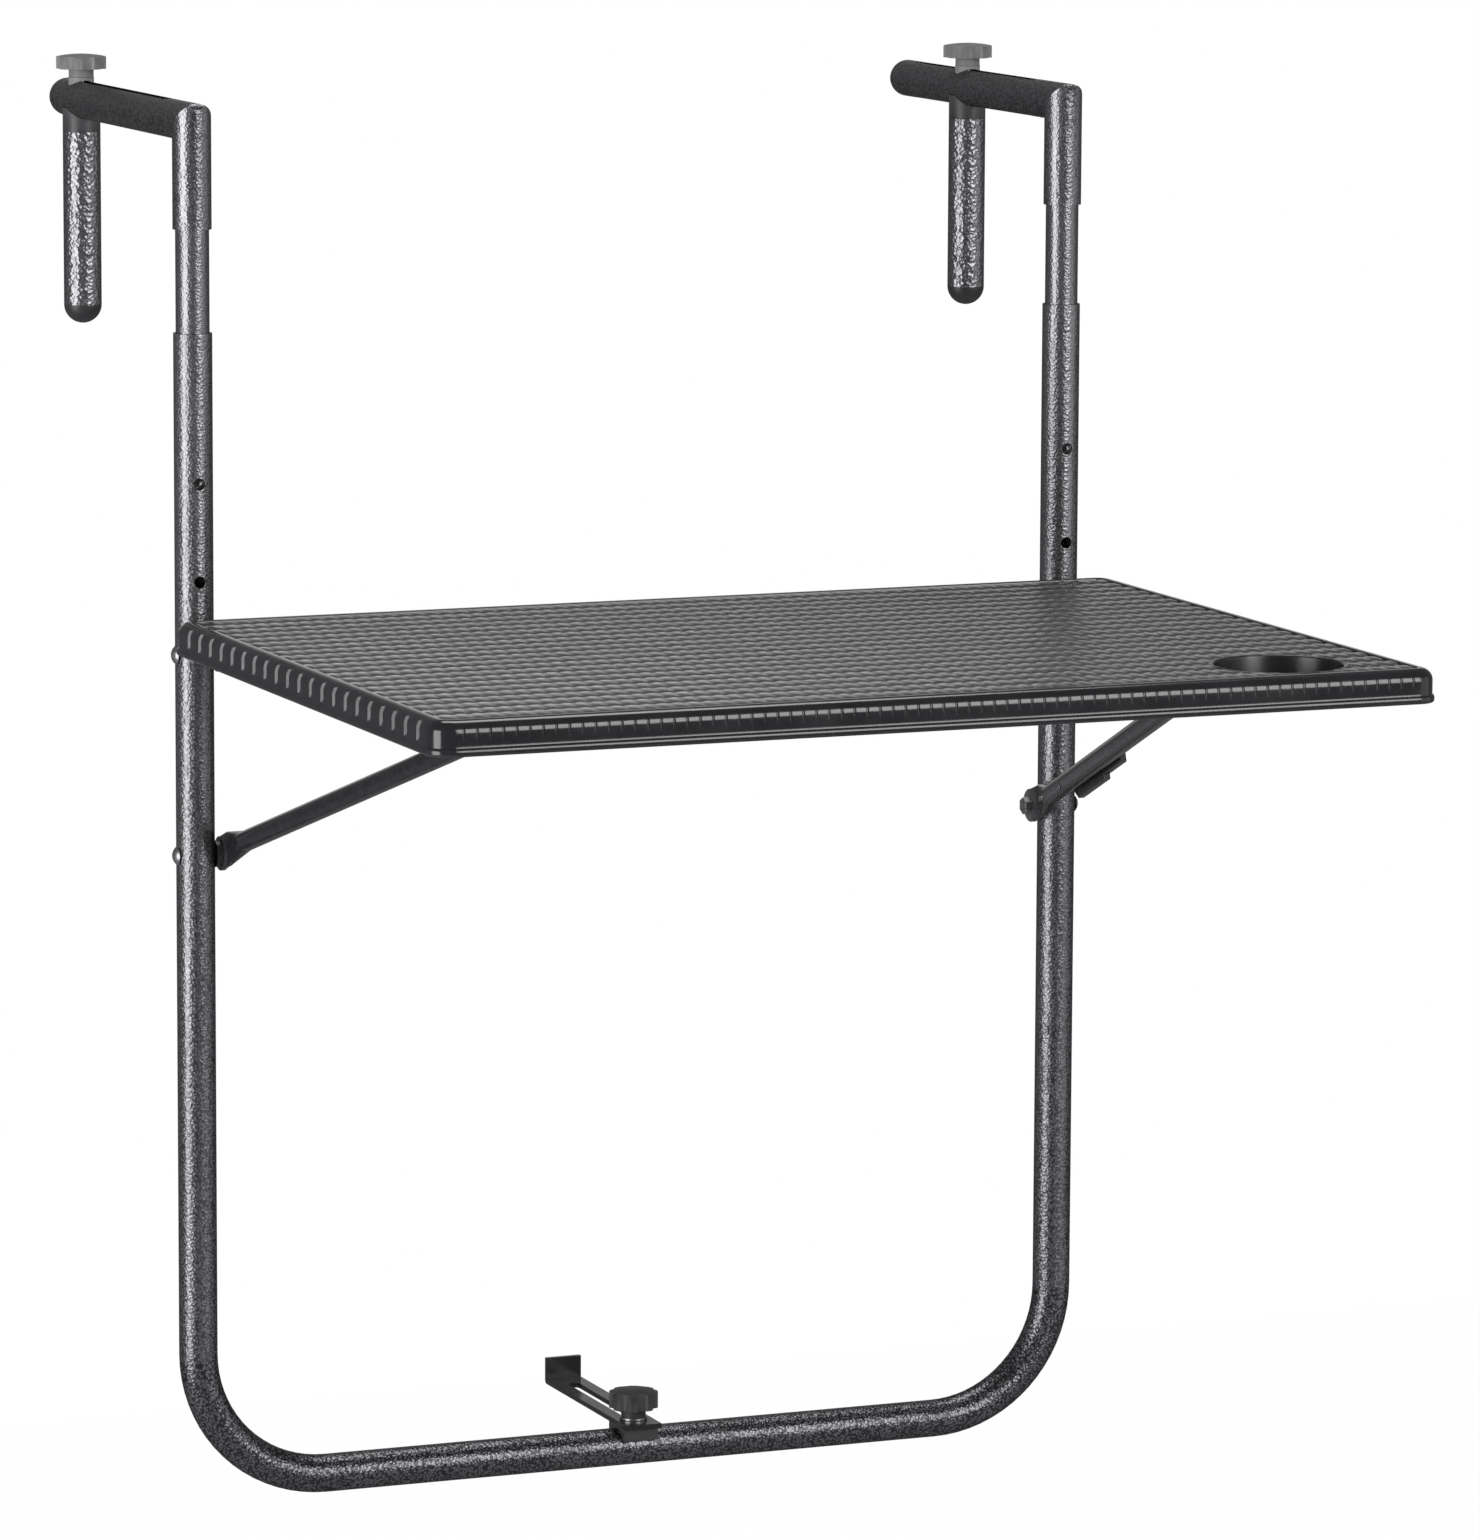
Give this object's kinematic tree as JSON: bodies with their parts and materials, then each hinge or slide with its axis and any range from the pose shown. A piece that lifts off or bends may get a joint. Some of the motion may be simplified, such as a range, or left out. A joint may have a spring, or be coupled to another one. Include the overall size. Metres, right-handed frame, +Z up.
{
  "type": "folding balcony table",
  "caption": "Table that hangs on a balcony railing by height-adjustable hooks and folds down flat against its tube frame, with a cup holder and swing-down braces.",
  "frame": {"origin": "midway between the two posts, on the plane of their axes, level with the underside of the hook arms where they lie on the railing", "axes": "+Z up, +X to the right seen from the table's front, the table reaches forward along -Y and the hooks back along +Y"},
  "size_m": [0.606, 0.7234, 0.8556],
  "materials": {
    "painted_tube": "hammered anthracite paint",
    "inner_tube": "satin anthracite paint",
    "brace_steel": "satin black paint",
    "strip_steel": "gloss black paint",
    "table_plastic": "moulded satin charcoal",
    "lug_plastic": "moulded black",
    "knob_plastic": "moulded dark grey",
    "cap_plastic": "moulded black",
    "bolt_steel": "zinc plated",
    "spring_steel": "bright"
  },
  "bodies": {
    "frame": {"u_frame": "painted_tube", "hinge_bolts": "bolt_steel", "brace_bolts": "bolt_steel", "hinge_washers": "bolt_steel", "brace_spacers": "lug_plastic", "pivot_nuts": "bolt_steel", "foot_saddle": "lug_plastic", "foot_bolt": "bolt_steel", "foot_washer": "bolt_steel"},
    "table": {"table_top": "table_plastic", "table_screws": "bolt_steel", "left_hinge_lug": "lug_plastic", "right_hinge_lug": "lug_plastic"},
    "left_brace_arm": {"left_brace": "brace_steel", "left_brace_cap": "cap_plastic"},
    "right_brace_arm": {"right_brace": "brace_steel", "right_brace_cap": "cap_plastic", "catch_rivet": "bolt_steel"},
    "catch": {"brace_catch": "lug_plastic"},
    "foot_bracket": {"foot_strip": "strip_steel"},
    "foot_knob_body": {"foot_knob": "knob_plastic"},
    "left_hook_slide": {"left_hook": "painted_tube", "left_inner_tube": "inner_tube", "left_arm_cap": "cap_plastic"},
    "left_button": {"left_snap_clip": "spring_steel"},
    "left_drop": {"left_drop_post": "painted_tube", "left_drop_plug": "cap_plastic", "left_drop_cap": "cap_plastic", "left_clamp_screw": "bolt_steel", "left_saddle_washer": "knob_plastic"},
    "left_knob": {"left_hook_knob": "knob_plastic"},
    "right_hook_slide": {"right_hook": "painted_tube", "right_inner_tube": "inner_tube", "right_arm_cap": "cap_plastic"},
    "right_button": {"right_snap_clip": "spring_steel"},
    "right_drop": {"right_drop_post": "painted_tube", "right_drop_plug": "cap_plastic", "right_drop_cap": "cap_plastic", "right_clamp_screw": "bolt_steel", "right_saddle_washer": "knob_plastic"},
    "right_knob": {"right_hook_knob": "knob_plastic"}
  },
  "joints": [
    {"name": "table_fold", "type": "hinge", "parent": "frame", "child": "table", "pos_m": [0, 0, -0.3025], "axis": [1, 0, 0], "range_deg": [0, 88]},
    {"name": "left_brace_fold", "type": "hinge", "parent": "frame", "child": "left_brace_arm", "pos_m": [0, 0, -0.4225], "axis": [1, 0, 0], "range_deg": [0, 107.42]},
    {"name": "right_brace_fold", "type": "hinge", "parent": "frame", "child": "right_brace_arm", "pos_m": [0, 0, -0.4225], "axis": [1, 0, 0], "range_deg": [0, 107.42]},
    {"name": "catch_swing", "type": "hinge", "parent": "right_brace_arm", "child": "catch", "pos_m": [0.25492, -0.07194, -0.3993], "axis": [0.9884, -0.1434, 0.0505], "range_deg": [0, 20]},
    {"name": "foot_slide", "type": "slide", "parent": "frame", "child": "foot_bracket", "axis": [0, 1, 0], "range_m": [-0.1, 0.003]},
    {"name": "foot_knob_turn", "type": "hinge", "parent": "frame", "child": "foot_knob_body", "pos_m": [0, 0, -0.78], "axis": [0, 0, 1], "continuous": true},
    {"name": "left_height", "type": "slide", "parent": "frame", "child": "left_hook_slide", "axis": [0, 0, 1], "range_m": [-0.058, 0], "deforming": ["left_snap_clip"]},
    {"name": "left_button_press", "type": "slide", "parent": "left_hook_slide", "child": "left_button", "axis": [0, 1, 0], "range_m": [0, 0.004], "stiffness_N_per_m": 1500, "deforming": ["left_snap_clip"]},
    {"name": "left_drop_slide", "type": "slide", "parent": "left_hook_slide", "child": "left_drop", "axis": [0, 1, 0], "range_m": [-0.169, 0.005]},
    {"name": "left_knob_turn", "type": "hinge", "parent": "left_drop", "child": "left_knob", "pos_m": [-0.28, 0.212, 0.03], "axis": [0, 0, 1], "continuous": true},
    {"name": "right_height", "type": "slide", "parent": "frame", "child": "right_hook_slide", "axis": [0, 0, 1], "range_m": [-0.058, 0], "deforming": ["right_snap_clip"]},
    {"name": "right_button_press", "type": "slide", "parent": "right_hook_slide", "child": "right_button", "axis": [0, 1, 0], "range_m": [0, 0.004], "stiffness_N_per_m": 1500, "deforming": ["right_snap_clip"]},
    {"name": "right_drop_slide", "type": "slide", "parent": "right_hook_slide", "child": "right_drop", "axis": [0, 1, 0], "range_m": [-0.102, 0.072]},
    {"name": "right_knob_turn", "type": "hinge", "parent": "right_drop", "child": "right_knob", "pos_m": [0.28, 0.145, 0.03], "axis": [0, 0, 1], "continuous": true}
  ],
  "couplings": [
    {"joint": "left_brace_fold", "follows": "table_fold", "ratio": 1.2195},
    {"joint": "right_brace_fold", "follows": "table_fold", "ratio": 1.2195}
  ]
}
